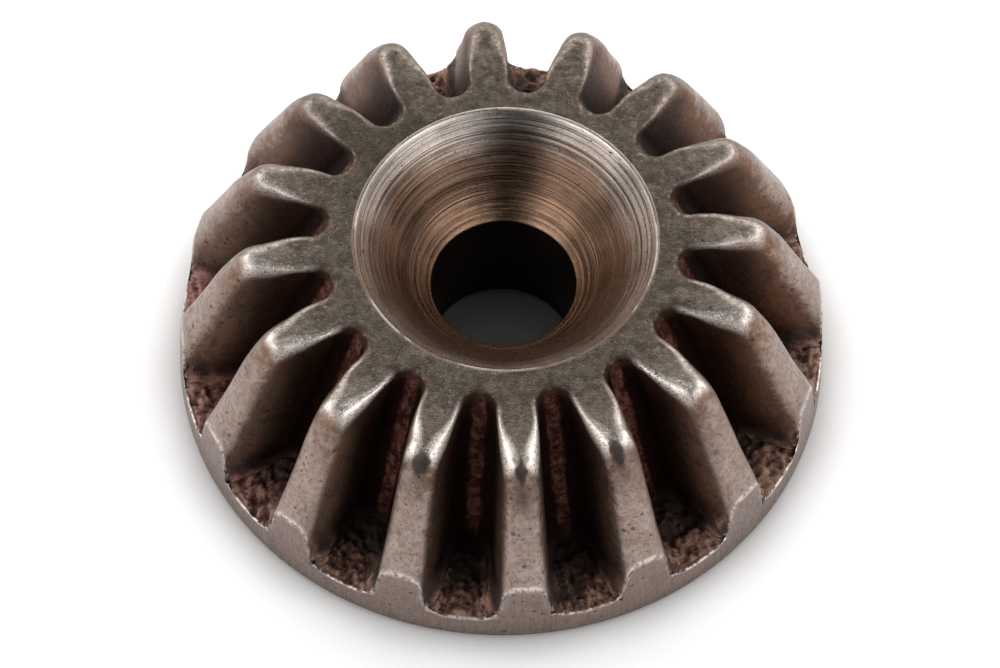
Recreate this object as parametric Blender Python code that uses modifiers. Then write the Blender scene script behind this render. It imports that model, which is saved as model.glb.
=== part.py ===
"""Straight bevel gear, one solid piece of steel with 16 teeth.

The origin is the centre of the bore on the flat back face. +Z runs along the
gear's axis from the back face (the large end) to the small end. A tooth is
centred on +X.

A turned blank carries the bore, the countersink, the face cone and the rim.
Sixteen tooth spaces are then cut out of it. Every line of a tooth flank runs
to the apex of the pitch cone, so a tooth space is one outline drawn towards
that apex. The face cone is a little steeper: its own apex lies higher.

Lengths are in millimetres. A slope is a radius divided by the distance below
the apex, so it stays constant along a tooth.
"""

import math

import bmesh
import bpy
from mathutils import Matrix, Vector

MM = 0.001                 # metres in a millimetre

# ---- blank ------------------------------------------------------------------
GEAR_HEIGHT = 6.30         # back face to the flat small end
RIM_RADIUS = 9.00          # largest radius, just above the back face
RIM_EDGE = 0.14            # chamfer where the rim meets the back face
HEEL_RADIUS = 8.93         # corner of a tooth's large end
HEEL_HEIGHT = 2.55
HEEL_INSET = 0.05          # the face cone stops this far inside the heel corner
HEEL_FLARE = 0.01          # the rim starts this far outside the heel corner
HEEL_DROP = 0.08           # and this far below it
CREST_RADIUS = 7.22        # where the face cone would meet the flat small end
TOE_ROUND = 0.62           # rounding between the flat small end and the face cone
TOE_STEPS = 5              # segments in that rounding
BORE_RADIUS = 2.00
BORE_EDGE = 0.35           # chamfer at the back of the bore
SINK_RADIUS = 4.175        # countersink at the small end
SINK_ANGLE = 84.5          # included angle of the countersink, degrees
TURNED_STEPS = 160         # facets round a turned surface
MERGE_DISTANCE = 0.001     # joins the two ends of the turned surface

# ---- teeth ------------------------------------------------------------------
TEETH = 16
PITCH_ANGLE = 2.0 * math.pi / TEETH
APEX_HEIGHT = 19.75        # common apex of all the tooth surfaces
FACE_SLOPE = 0.5194        # slope of the tooth's crest at the heel
ROOT_SLOPE = 0.3631        # slope of the root cone
WEB_RADIUS = 6.75          # where the root cone runs into the web
WEB_HEIGHT = 1.15          # top of the web there
WEB_FALL = -0.090          # height per radius: the web's top falls towards the rim
CUT_SCALE = 0.66           # size of a cutter's upper end, measured from the apex

# Half thickness of a tooth, per unit distance from the apex
BODY_HALF = 0.0418         # nearly parallel body
OUTSIDE_HALF = 0.0175      # where the cutter closes outside the blank
OUTSIDE_SLOPE = 0.56

# Changes to the body: size, the rise where each begins or ends, power of its curve
FILLET_SIZE, FILLET_END, FILLET_POWER = 0.0172, 0.17, 2.2
TAPER_SIZE, TAPER_START, TAPER_POWER = 0.0100, 0.50, 1.7
CROWN_SIZE, CROWN_START, CROWN_POWER = 0.0120, 0.86, 2.4

# Stations down a flank as the rise above the root: 1 at the crest, 0 at the root
FLANK_RISES = (
    1.0, 0.985, 0.96, 0.92, 0.86, 0.76, 0.62,
    0.45, 0.25, 0.15, 0.09, 0.045, 0.015, 0.0,
)


def tooth_half_thickness(rise):
    """Half thickness at a rise, per unit distance from the apex: a fillet at
    the root, a body, a tapering upper flank and a rounded crest."""
    fillet = FILLET_SIZE * (1.0 - min(1.0, rise / FILLET_END)) ** FILLET_POWER
    taper_part = max(0.0, (rise - TAPER_START) / (1.0 - TAPER_START))
    crown_part = max(0.0, (rise - CROWN_START) / (1.0 - CROWN_START))
    taper = TAPER_SIZE * taper_part ** TAPER_POWER
    crown = CROWN_SIZE * crown_part ** CROWN_POWER
    return BODY_HALF + fillet - taper - crown


def tooth_space_outline():
    """Outline of one tooth space as (slope, angle from its centre line), going
    down one flank, across the root and up the other."""
    half_pitch = PITCH_ANGLE / 2
    flank = [(OUTSIDE_SLOPE, half_pitch - OUTSIDE_HALF / OUTSIDE_SLOPE)]
    for rise in FLANK_RISES:
        slope = ROOT_SLOPE + rise * (FACE_SLOPE - ROOT_SLOPE)
        flank.append((slope, half_pitch - tooth_half_thickness(rise) / slope))
    return [(slope, -angle) for slope, angle in flank] + flank[::-1]


def web_point(slope, angle):
    """Where the line to the apex at this slope and angle meets the web's top, a
    plane tilted about the tangent of the tooth space."""
    run = slope * math.cos(angle)
    z = (WEB_HEIGHT + WEB_FALL * (run * APEX_HEIGHT - WEB_RADIUS)) / (1.0 + WEB_FALL * run)
    radius = slope * (APEX_HEIGHT - z)
    return Vector((radius * math.cos(angle), radius * math.sin(angle), z)) * MM


def toe_rounding(fall):
    """Quadratic curve from the flat small end onto the face cone, whose radius
    shrinks by `fall` per unit of height."""
    corner = Vector((CREST_RADIUS, GEAR_HEIGHT))
    start = corner - Vector((TOE_ROUND, 0.0))
    end = corner + Vector((fall, -1.0)).normalized() * TOE_ROUND
    points = []
    for i in range(TOE_STEPS + 1):
        t = i / TOE_STEPS
        points.append(tuple(start.lerp(corner, t).lerp(corner.lerp(end, t), t)))
    return points


def blank_profile():
    """Half section of the blank as (radius, height), running outwards over the
    small end, down the outer side and back up the bore."""
    fall = (HEEL_RADIUS - CREST_RADIUS) / (GEAR_HEIGHT - HEEL_HEIGHT)
    sink_depth = (SINK_RADIUS - BORE_RADIUS) / math.tan(math.radians(SINK_ANGLE / 2))
    return [
        (SINK_RADIUS, GEAR_HEIGHT),
        *toe_rounding(fall),
        (HEEL_RADIUS - HEEL_INSET, HEEL_HEIGHT + HEEL_INSET / fall),
        (HEEL_RADIUS + HEEL_FLARE, HEEL_HEIGHT - HEEL_DROP),
        (RIM_RADIUS, RIM_EDGE),
        (RIM_RADIUS - RIM_EDGE, 0.0),
        (BORE_RADIUS + BORE_EDGE, 0.0),
        (BORE_RADIUS, BORE_EDGE),
        (BORE_RADIUS, GEAR_HEIGHT - sink_depth),
    ]


def add_object(name, bm):
    """Turn a bmesh into an object in a collection of the scene."""
    mesh = bpy.data.meshes.new(name)
    bm.to_mesh(mesh)
    bm.free()
    return bpy.data.objects.new(name, mesh)


def new_collection(name):
    collection = bpy.data.collections.new(name)
    bpy.context.scene.collection.children.link(collection)
    return collection


def steel_material():
    material = bpy.data.materials.new("sintered_steel")
    material.use_nodes = True
    shader = material.node_tree.nodes["Principled BSDF"]
    shader.inputs["Base Color"].default_value = (0.235, 0.195, 0.170, 1.0)
    shader.inputs["Metallic"].default_value = 0.85
    shader.inputs["Roughness"].default_value = 0.48
    return material


def turned_blank():
    """The half section, turned about Z by a screw modifier."""
    bm = bmesh.new()
    verts = [bm.verts.new((radius * MM, 0.0, z * MM)) for radius, z in blank_profile()]
    for vert, following in zip(verts, verts[1:] + verts[:1]):
        bm.edges.new((vert, following))
    blank = add_object("bevel_gear", bm)
    screw = blank.modifiers.new("Turned blank", "SCREW")
    screw.axis = "Z"
    screw.angle = 2.0 * math.pi
    screw.steps = TURNED_STEPS
    screw.render_steps = TURNED_STEPS
    screw.use_merge_vertices = True
    screw.merge_threshold = MERGE_DISTANCE * MM
    screw.use_smooth_shade = True
    return blank


def tooth_space_cutter():
    """All the tooth spaces. Each is a flat outline lying on the web, extruded
    and scaled towards the apex, past the small end."""
    to_apex = Matrix.Translation((0.0, 0.0, -APEX_HEIGHT * MM))
    outline = tooth_space_outline()
    bm = bmesh.new()
    for k in range(TEETH):
        turn = Matrix.Rotation((k + 0.5) * PITCH_ANGLE, 4, "Z")
        verts = [bm.verts.new(turn @ web_point(slope, angle)) for slope, angle in outline]
        made = bmesh.ops.extrude_face_region(bm, geom=[bm.faces.new(verts)])
        raised = [item for item in made["geom"] if isinstance(item, bmesh.types.BMVert)]
        bmesh.ops.scale(bm, vec=(CUT_SCALE,) * 3, space=to_apex, verts=raised)
    bmesh.ops.recalc_face_normals(bm, faces=bm.faces)
    cutter = add_object("tooth_spaces", bm)
    cutter.hide_render = True
    cutter.display_type = "WIRE"
    return cutter


def build():
    for obj in list(bpy.data.objects):
        bpy.data.objects.remove(obj, do_unlink=True)

    gear = turned_blank()
    cutter = tooth_space_cutter()
    new_collection("bevel_gear").objects.link(gear)
    new_collection("cutters").objects.link(cutter)

    cut = gear.modifiers.new("Tooth spaces", "BOOLEAN")
    cut.operation = "DIFFERENCE"
    cut.solver = "EXACT"
    cut.object = cutter
    gear.data.materials.append(steel_material())


build()
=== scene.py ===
"""Looks for the straight bevel gear: one finely meshed metal body that stands for
the CAD node, procedural metal, a pale floor and soft studio light.

Lengths inside the mesh code are millimetres and are scaled to metres at the end.
"""

import math

import bmesh
import bpy
import numpy as np
from mathutils import Matrix, Vector
from mathutils.geometry import delaunay_2d_cdt


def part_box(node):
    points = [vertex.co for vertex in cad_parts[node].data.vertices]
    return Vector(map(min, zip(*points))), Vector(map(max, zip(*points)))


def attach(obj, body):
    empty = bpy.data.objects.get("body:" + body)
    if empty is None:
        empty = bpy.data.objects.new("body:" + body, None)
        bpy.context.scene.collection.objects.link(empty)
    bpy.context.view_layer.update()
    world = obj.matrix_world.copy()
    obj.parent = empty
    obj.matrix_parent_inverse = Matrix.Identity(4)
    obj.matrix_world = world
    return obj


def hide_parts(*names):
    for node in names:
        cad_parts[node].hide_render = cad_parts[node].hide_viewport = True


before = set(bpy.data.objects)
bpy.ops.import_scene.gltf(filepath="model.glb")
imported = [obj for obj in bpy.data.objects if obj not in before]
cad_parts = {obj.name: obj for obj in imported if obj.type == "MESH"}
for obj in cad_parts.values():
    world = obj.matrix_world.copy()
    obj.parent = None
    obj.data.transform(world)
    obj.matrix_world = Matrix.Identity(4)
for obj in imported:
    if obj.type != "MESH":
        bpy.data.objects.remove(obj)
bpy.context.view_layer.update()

MM = 0.001
NODE = "bevel_gear"

# ---- the CAD model's dimensions, in millimetres ------------------------------
TEETH = 16
SECTOR = 2.0 * math.pi / TEETH
HALF = math.pi / TEETH
low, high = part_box(NODE)
RIM = (high.x - low.x) / 2.0 / MM
HEIGHT = high.z / MM
APEX = 19.75
FACE = 0.5194
ROOT = 0.3631
BORE = 2.00
BORE_EDGE = 0.35
SINK = 4.175
SINK_TAN = math.tan(math.radians(84.5 / 2.0))
RIM_EDGE = 0.14
WEB_R, WEB_Z, WEB_FALL = 6.75, 1.15, -0.090
OUTER_Z = (RIM_EDGE, 2.47, 3.60)
OUTER_R = (RIM, RIM - 0.06, RIM - 0.09)
COS_F = 1.0 / math.hypot(1.0, FACE)
COS_R = 1.0 / math.hypot(1.0, ROOT)
INNER = 4.35  # where the turned rings meet the toothed surface


# ---- noise -----------------------------------------------------------------


def hash01(ix, iy, iz, seed):
    """Repeatable numbers in 0..1 from integer cells."""
    h = (
        ix.astype(np.uint32) * np.uint32(374761393)
        + iy.astype(np.uint32) * np.uint32(668265263)
        + iz.astype(np.uint32) * np.uint32(2246822519)
        + np.uint32((seed * 3266489917) & 0xFFFFFFFF)
    )
    h = (h ^ (h >> np.uint32(15))) * np.uint32(2246822519)
    h = (h ^ (h >> np.uint32(13))) * np.uint32(3266489917)
    h = h ^ (h >> np.uint32(16))
    return h.astype(np.float64) / 4294967295.0


def noise3(p, size, seed):
    """Smooth value noise in -1..1 with features about `size` across."""
    q = p / size + 1000.0
    i = np.floor(q).astype(np.int64)
    f = q - i
    f = f * f * f * (f * (f * 6.0 - 15.0) + 10.0)
    out = np.zeros(len(p))
    for dx in (0, 1):
        wx = f[:, 0] if dx else 1.0 - f[:, 0]
        for dy in (0, 1):
            wy = f[:, 1] if dy else 1.0 - f[:, 1]
            for dz in (0, 1):
                wz = f[:, 2] if dz else 1.0 - f[:, 2]
                out += wx * wy * wz * hash01(i[:, 0] + dx, i[:, 1] + dy, i[:, 2] + dz, seed)
    return out * 2.0 - 1.0


def fbm(p, size, seed, octaves=3, gain=0.5):
    total, amp, norm = np.zeros(len(p)), 1.0, 0.0
    for o in range(octaves):
        total += amp * noise3(p, size / 2.0**o, seed + 17 * o)
        norm += amp
        amp *= gain
    return total / norm


def craters(p, cell, radius, chance, seed):
    """Depth 0..1 of scattered round pits."""
    q = p / cell + 1000.0
    i = np.floor(q).astype(np.int64)
    depth = np.zeros(len(p))
    for dx in (-1, 0, 1):
        for dy in (-1, 0, 1):
            for dz in (-1, 0, 1):
                c = i + np.array([dx, dy, dz])
                a = [hash01(c[:, 0], c[:, 1], c[:, 2], seed + s) for s in range(5)]
                centre = c + np.stack(a[:3], 1)
                d = np.linalg.norm(q - centre, axis=1) * cell
                r = radius * (0.45 + 0.55 * a[3])
                hit = np.clip(1.0 - (d / r) ** 2, 0.0, 1.0) ** 2
                depth = np.maximum(depth, np.where(a[4] < chance, hit, 0.0))
    return depth


def smooth(x, a, b):
    t = np.clip((x - a) / (b - a), 0.0, 1.0)
    return t * t * (3.0 - 2.0 * t)


# ---- the gear as a smooth solid, used to round its edges ---------------------


def smax(a, b, k):
    h = np.maximum(k - np.abs(a - b), 0.0) / k
    return np.maximum(a, b) + h * h * k * 0.25


def smin(a, b, k):
    return -smax(-a, -b, k)


def half_thickness(slope):
    """Half a tooth's thickness at a cone slope, per unit distance from the apex."""
    d = (slope - ROOT) / (FACE - ROOT)
    c = np.clip(d, 0.0, 1.0)
    h = 0.0418 + 0.0172 * (1.0 - np.minimum(1.0, c / 0.17)) ** 2.2
    h = h - 0.0100 * np.maximum(0.0, (c - 0.50) / 0.50) ** 1.7
    h = h - 0.0120 * np.maximum(0.0, (c - 0.86) / 0.14) ** 2.4
    h = h + np.where(d < 0.0, -0.2226 * d, 0.0) - np.where(d > 1.0, 0.2397 * (d - 1.0), 0.0)
    return h


CREST_R = 7.33  # where the crest line would meet the flat small end
CREST_FALL = (8.93 - CREST_R) / (HEIGHT - 2.55)


def crest_slope(z):
    """The cone slope of the crest at a height; its cone has its own apex."""
    line = CREST_R + CREST_FALL * (HEIGHT - z)
    return np.maximum(line / (APEX - z), FACE)


def outer_radius(z):
    return np.interp(z, OUTER_Z, OUTER_R)


def web_height(r):
    return WEB_Z + WEB_FALL * (r - WEB_R)


def toothed(p):
    """The toothed body before its outer side is turned, as a rough signed distance."""
    x, y, z = p[:, 0], p[:, 1], p[:, 2]
    r = np.hypot(x, y)
    a = np.arctan2(y, x)
    phi = a - np.round(a / SECTOR) * SECTOR
    t = APEX - z
    rho = r / t
    crest = crest_slope(z)
    middle = 0.5 * (ROOT + FACE)
    stretched = np.where(rho > middle, middle + (rho - middle) * (FACE - middle) / (crest - middle), rho)
    thick = half_thickness(stretched) + 0.0025 * smooth(-z, -3.6, -2.5) * smooth(stretched, 0.485, 0.515)
    flank = (rho * np.abs(phi) - thick) * t
    top = z - HEIGHT
    # the crest bends down a little over its last stretch before the small end
    bend = np.clip(z - (HEIGHT - 1.5), 0.0, 1.6)
    face = (rho - crest) * t * 0.915 + 0.060 * bend * bend
    root = (rho - ROOT) * t * COS_R
    body = smax(top, face, 0.38)
    tip = smooth(r, 5.65, 6.75) * smooth(z, HEIGHT - 1.5, HEIGHT - 0.30)
    end = (1.0 - smooth(r, 4.95, 5.55)) * smooth(z, HEIGHT - 1.0, HEIGHT - 0.3)
    body = smax(body, smin(flank, root, 0.06), 0.14 + 0.36 * tip + 0.07 * end)
    return smin(body, z - web_height(r), 0.14 + 0.64 * smooth(r, 7.1, 8.7))


def space(p):
    """Distance into a tooth space from its nearest wall, ignoring the top."""
    r = np.hypot(p[:, 0], p[:, 1])
    a = np.arctan2(p[:, 1], p[:, 0])
    phi = a - np.round(a / SECTOR) * SECTOR
    t = APEX - p[:, 2]
    rho = r / t
    return np.minimum((rho * np.abs(phi) - half_thickness(rho)) * t, (rho - ROOT) * t * COS_R)


def field(p):
    """Signed distance, roughly: negative inside the metal."""
    z = p[:, 2]
    r = np.hypot(p[:, 0], p[:, 1])
    body = smax(toothed(p), r - outer_radius(z), 0.045)
    sink = (SINK - (HEIGHT - z) * SINK_TAN - r) / math.hypot(1.0, SINK_TAN)
    body = smax(body, np.maximum(sink, BORE - r), 0.03)
    return smax(body, -z, 0.02)


def gradient(p, step=0.004):
    g = np.empty_like(p)
    for axis in range(3):
        d = np.zeros(3)
        d[axis] = step
        g[:, axis] = (field(p + d) - field(p - d)) / (2.0 * step)
    return g


# ---- one tooth's sector of the mesh ------------------------------------------


def tooth_columns():
    """(slope, angle) across one tooth, from gap centre to gap centre."""
    corner = (OUTER_R[0], 0.95)
    z = 0.95
    for _ in range(8):
        r = float(outer_radius(z))
        z = web_height(r)
    corner = (r, z)
    d_corner = (corner[0] / (APEX - corner[1]) - ROOT) / (FACE - ROOT)
    depths = [1.0, 0.985, 0.96, 0.93, 0.89, 0.845, 0.79, d_corner, 0.67, 0.60, 0.53, 0.46, 0.39, 0.32]
    depths += [0.26, 0.21, 0.17, 0.13, 0.095, 0.065, 0.04, 0.018, 0.0]
    half = []
    edge = float(half_thickness(np.array([FACE]))[0]) / FACE
    for f in (0.0, 0.33, 0.68):
        half.append((FACE, edge * f))
    for d in depths:
        rho = ROOT + d * (FACE - ROOT)
        half.append((rho, float(half_thickness(np.array([rho]))[0]) / rho))
    foot = half[-1][1]
    for f in (0.35, 0.68, 1.0):
        half.append((ROOT, foot + (HALF - foot) * f))
    columns = [(s, -a) for s, a in reversed(half)] + half[1:]
    return columns, half, d_corner, corner


COLUMNS, HALF_COLUMNS, D_CORNER, CORNER = tooth_columns()


def ruling_end(slope):
    """Where a flank line meets the outer side or the web: (radius, height)."""
    d = (slope - ROOT) / (FACE - ROOT)
    if d >= D_CORNER - 1e-9:
        z = 2.0
        for _ in range(60):
            z = APEX - float(outer_radius(z)) / slope
        return slope * (APEX - z), z
    a = WEB_Z - WEB_FALL * WEB_R
    z = (a + WEB_FALL * slope * APEX) / (1.0 + WEB_FALL * slope)
    return slope * (APEX - z), z


def polar(r, a, z):
    return (r * math.cos(a), r * math.sin(a), z)


def inside(points, polygon):
    x, y = points[:, 0], points[:, 1]
    hit = np.zeros(len(points), bool)
    n = len(polygon)
    for i in range(n):
        x0, y0 = polygon[i]
        x1, y1 = polygon[(i + 1) % n]
        cross = (y0 > y) != (y1 > y)
        with np.errstate(divide="ignore", invalid="ignore"):
            at = (x1 - x0) * (y - y0) / (y1 - y0) + x0
        hit ^= cross & (x < at)
    return hit


def clearance(points, polygon):
    best = np.full(len(points), 1e9)
    n = len(polygon)
    for i in range(n):
        a, b = np.array(polygon[i]), np.array(polygon[(i + 1) % n])
        ab = b - a
        t = np.clip(((points - a) @ ab) / max(ab @ ab, 1e-12), 0.0, 1.0)
        best = np.minimum(best, np.linalg.norm(points - (a + t[:, None] * ab), axis=1))
    return best


def fill(polygon, spacing, margin, extra=()):
    """Triangles over a flat outline, with even points inside it."""
    poly = np.array(polygon)
    lo, hi = poly.min(0), poly.max(0)
    pts = []
    row, y = 0, lo[1]
    while y < hi[1]:
        x = lo[0] + (spacing / 2.0 if row % 2 else 0.0)
        while x < hi[0]:
            pts.append((x, y))
            x += spacing
        y += spacing * math.sqrt(3.0) / 2.0
        row += 1
    pts = np.array(pts)
    keep = inside(pts, polygon) & (clearance(pts, polygon) > margin)
    pts = pts[keep]
    if len(extra):
        extra = np.array(extra)
        ok = inside(extra, polygon) & (clearance(extra, polygon) > 0.012)
        extra = extra[ok]
        if len(extra):
            far = np.ones(len(pts), bool)
            for e in extra:
                far &= np.linalg.norm(pts - e, axis=1) > spacing * 0.55
            pts = np.concatenate([pts[far], extra])
    verts = [Vector(p) for p in polygon] + [Vector(p) for p in pts]
    out = delaunay_2d_cdt(verts, [], [list(range(len(polygon)))], 1, 1e-6)
    return [(v.x, v.y) for v in out[0]], [tuple(f) for f in out[2]]


def inset(line, distances, closed=False):
    """Points a little inside a line whose inside is on its left."""
    line = [np.array(p) for p in line]
    out = []
    for d in distances:
        for i in range(1, len(line) - 1):
            t = line[i + 1] - line[i - 1]
            n = np.array([-t[1], t[0]]) / max(np.linalg.norm(t), 1e-12)
            out.append(tuple(line[i] + n * d))
    return out


RINGS = 24  # columns of the turned surfaces in one sector
REGION = {"flat": 0, "tooth": 1, "web": 2, "outer": 3, "sink": 4, "bore": 5, "back": 6}


def sector_mesh():
    """Vertices, faces and a region number for each face of one tooth's sector."""
    verts, faces, regions = [], [], []

    def add(vs, fs, region):
        base = len(verts)
        verts.extend(vs)
        for f in fs:
            faces.append(tuple(base + i for i in f))
            regions.append(region)

    n = len(COLUMNS)
    top = [(s * (APEX - HEIGHT), a) for s, a in COLUMNS]
    flat = np.array([(r * math.cos(a), r * math.sin(a)) for r, a in top])
    # inward normals of the outline on the flat small end
    before = flat[1]
    normals = np.zeros_like(flat)
    for i in range(n):
        if i == 0 or i == n - 1:
            a = top[i][1]
            normals[i] = (-math.cos(a), -math.sin(a))
            continue
        t = flat[i + 1] - flat[i - 1]
        normals[i] = np.array([-t[1], t[0]]) / np.linalg.norm(t)
    insets = (0.14, 0.08, 0.037)
    rows, kinds = [], []
    for d in insets:
        rows.append([(p[0], p[1], HEIGHT) for p in flat + normals * d])
    ends = [ruling_end(s) for s, _ in COLUMNS]
    near_top = [0.0, 0.037, 0.08, 0.14, 0.22, 0.32, 0.45]
    near_end = [0.26, 0.15, 0.08, 0.032, 0.0]
    middle = 19
    for step in range(len(near_top) + middle + len(near_end)):
        row = []
        for (s, a), (re, ze) in zip(COLUMNS, ends):
            rt = s * (APEX - HEIGHT)
            length = math.hypot(re - rt, HEIGHT - ze)
            if step < len(near_top):
                at = near_top[step]
            elif step < len(near_top) + middle:
                f = (step - len(near_top) + 1) / (middle + 1.0)
                at = near_top[-1] + f * (length - near_end[0] - near_top[-1])
            else:
                at = length - near_end[step - len(near_top) - middle]
            f = at / length
            row.append(polar(rt + f * (re - rt), a, HEIGHT + f * (ze - HEIGHT)))
        rows.append(row)
    grid = [p for row in rows for p in row]
    quads = []
    for r in range(len(rows) - 1):
        for c in range(n - 1):
            quads.append((r * n + c, (r + 1) * n + c, (r + 1) * n + c + 1, r * n + c + 1))
    add(grid, quads, REGION["tooth"])

    # flat small end, from the inner circle out to the first inset row
    outer_line = [(p[0], p[1]) for p in rows[0]]
    arc = [(INNER * math.cos(a), INNER * math.sin(a)) for a in np.linspace(-HALF, HALF, RINGS + 1)]
    gap_r = math.hypot(*outer_line[0])
    steps = 4
    side = [gap_r + (INNER - gap_r) * i / steps for i in range(1, steps)]
    left = [(r * math.cos(-HALF), r * math.sin(-HALF)) for r in side]
    right = [(r * math.cos(HALF), r * math.sin(HALF)) for r in side]
    polygon = outer_line + right + arc[::-1] + left[::-1]
    pts, tris = fill(polygon, 0.093, 0.05)
    add([(x, y, HEIGHT) for x, y in pts], tris, REGION["flat"])

    # web between the teeth, as two halves
    for sign in (1, -1):
        line = []
        for s, a in HALF_COLUMNS:
            d = (s - ROOT) / (FACE - ROOT)
            if d <= D_CORNER + 1e-9:
                re, ze = ruling_end(s)
                line.append((re * math.cos(a), re * math.sin(a)))
        line[0] = (CORNER[0] * math.cos(corner_angle()), CORNER[0] * math.sin(corner_angle()))
        r0 = math.hypot(*line[-1])
        m = 26
        border = [(r0 + (CORNER[0] - r0) * i / m) for i in range(1, m + 1)]
        border_pts = [(r * math.cos(HALF), r * math.sin(HALF)) for r in border]
        k = 15
        edge = [HALF + (corner_angle() - HALF) * i / k for i in range(1, k)]
        edge_pts = [(CORNER[0] * math.cos(a), CORNER[0] * math.sin(a)) for a in edge]
        polygon = line + border_pts + edge_pts
        polygon = polygon[::-1]
        extra = []
        for d in (0.035, 0.085, 0.14):
            for a in np.linspace(corner_angle(), HALF, 26)[1:-1]:
                extra.append(((CORNER[0] - d) * math.cos(a), (CORNER[0] - d) * math.sin(a)))
        if sign < 0:
            polygon = [(x, -y) for x, y in polygon][::-1]
            extra = [(x, -y) for x, y in extra]
        pts, tris = fill(polygon, 0.074, 0.035, extra)
        add([(x, y, float(web_height(math.hypot(x, y)))) for x, y in pts], tris, REGION["web"])

    # outer side, unrolled: tooth ends and rim band in one
    line = []
    for sign in (1, -1):
        half = []
        k = 15
        for i in range(k):
            half.append((HALF + (corner_angle() - HALF) * i / k, CORNER[1]))
        for s, a in reversed(HALF_COLUMNS):
            d = (s - ROOT) / (FACE - ROOT)
            if d >= D_CORNER - 1e-9:
                re, ze = ruling_end(s)
                half.append((a, ze))
        if sign < 0:
            half = [(-a, z) for a, z in half][::-1][1:]
        line += half
    top_line = [(a * RIM, z) for a, z in line]
    bottom = [(a * RIM, RIM_EDGE) for a in np.linspace(-HALF, HALF, RINGS + 1)]
    m = 8
    up = [RIM_EDGE + (CORNER[1] - RIM_EDGE) * i / m for i in range(1, m)]
    polygon = bottom + [(HALF * RIM, z) for z in up] + top_line + [(-HALF * RIM, z) for z in reversed(up)]
    extra = inset(top_line, (0.035, 0.085))
    pts, tris = fill(polygon, 0.098, 0.045, extra)
    add([polar(float(outer_radius(z)), x / RIM, z) for x, z in pts], tris, REGION["outer"])
    return verts, faces, regions


def corner_angle():
    rho = ROOT + D_CORNER * (FACE - ROOT)
    return float(half_thickness(np.array([rho]))[0]) / rho


def turned_profile():
    """(radius, height, region) from the flat's inner circle, down the hole, over
    the back face and out to the rim."""
    sink_depth = (SINK - BORE) / SINK_TAN
    z_bore = HEIGHT - sink_depth
    path = [(INNER, HEIGHT, "flat"), (INNER - 0.05, HEIGHT, "flat"), (SINK + 0.075, HEIGHT, "flat")]
    path += [(SINK + 0.035, HEIGHT, "sink"), (SINK, HEIGHT - 0.006, "sink")]
    rows = 60
    for i in range(1, rows + 1):
        f = i / rows
        path.append((SINK + (BORE - SINK) * f, HEIGHT - sink_depth * f, "sink"))
    for z in (z_bore - 0.05, z_bore - 0.14, z_bore - 0.30, z_bore - 0.8, z_bore - 1.4, z_bore - 2.1, z_bore - 2.8, BORE_EDGE + 0.1, BORE_EDGE):
        path.append((BORE, z, "bore"))
    path.append((BORE + BORE_EDGE / 2, BORE_EDGE / 2, "bore"))
    path.append((BORE + BORE_EDGE, 0.0, "back"))
    for r in np.linspace(BORE + BORE_EDGE, RIM - RIM_EDGE, 12)[1:]:
        path.append((float(r), 0.0, "back"))
    path.append((RIM - RIM_EDGE * 0.45, RIM_EDGE * 0.35, "outer"))
    path.append((RIM, RIM_EDGE, "outer"))
    return path


def whole_mesh():
    sector_verts, sector_faces, sector_regions = sector_mesh()
    base = np.array(sector_verts)
    all_verts, all_faces, all_regions = [], [], []
    for k in range(TEETH):
        a = k * SECTOR
        c, s = math.cos(a), math.sin(a)
        turned = base.copy()
        turned[:, 0] = base[:, 0] * c - base[:, 1] * s
        turned[:, 1] = base[:, 0] * s + base[:, 1] * c
        offset = k * len(base)
        all_verts.append(turned)
        all_faces += [tuple(offset + i for i in f) for f in sector_faces]
        all_regions += sector_regions
    offset = TEETH * len(base)
    path = turned_profile()
    columns = RINGS * TEETH
    ring = []
    for r, z, _ in path:
        for c in range(columns):
            ring.append(polar(r, -HALF + c * 2.0 * math.pi / columns, z))
    all_verts.append(np.array(ring))
    for r in range(len(path) - 1):
        region = REGION[path[r + 1][2]]
        for c in range(columns):
            d = (c + 1) % columns
            a0, a1 = offset + r * columns + c, offset + r * columns + d
            b0, b1 = a0 + columns, a1 + columns
            all_faces.append((a0, a1, b1, b0))
            all_regions.append(region)
    return np.concatenate(all_verts), all_faces, all_regions


def build_gear():
    verts, faces, regions = whole_mesh()
    bm = bmesh.new()
    layer = bm.faces.layers.int.new("region")
    made = [bm.verts.new(v) for v in verts]
    for f, region in zip(faces, regions):
        try:
            face = bm.faces.new([made[i] for i in f])
        except ValueError:
            continue
        face[layer] = region
        face.smooth = True
    bmesh.ops.remove_doubles(bm, verts=bm.verts, dist=0.0015)
    bmesh.ops.dissolve_degenerate(bm, edges=bm.edges, dist=0.0002)
    bmesh.ops.triangulate(bm, faces=[f for f in bm.faces if len(f.verts) > 4])
    mesh = bpy.data.meshes.new("bevel_gear_surface")
    bm.to_mesh(mesh)
    open_edges = sum(1 for e in bm.edges if len(e.link_faces) != 2)
    bm.free()
    print("gear mesh", len(mesh.vertices), "verts", len(mesh.polygons), "faces", open_edges, "open edges")
    return mesh


mesh = build_gear()
count = len(mesh.vertices)
flat_co = np.empty(count * 3)
mesh.vertices.foreach_get("co", flat_co)
P = flat_co.reshape(-1, 3).copy()

# which region each vertex belongs to
region_attr = np.empty(len(mesh.polygons), np.int32)
mesh.attributes["region"].data.foreach_get("value", region_attr)
touch = np.zeros((count, len(REGION)), bool)
starts = np.empty(len(mesh.polygons), np.int32)
totals = np.empty(len(mesh.polygons), np.int32)
mesh.polygons.foreach_get("loop_start", starts)
mesh.polygons.foreach_get("loop_total", totals)
loops = np.empty(len(mesh.loops), np.int32)
mesh.loops.foreach_get("vertex_index", loops)
touch[loops, np.repeat(region_attr, totals)] = True

# the edge between the outer side and the tooth spaces follows the flared feet
brink = np.where(touch[:, REGION["outer"]] & (touch[:, REGION["tooth"]] | touch[:, REGION["web"]]))[0]


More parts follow.
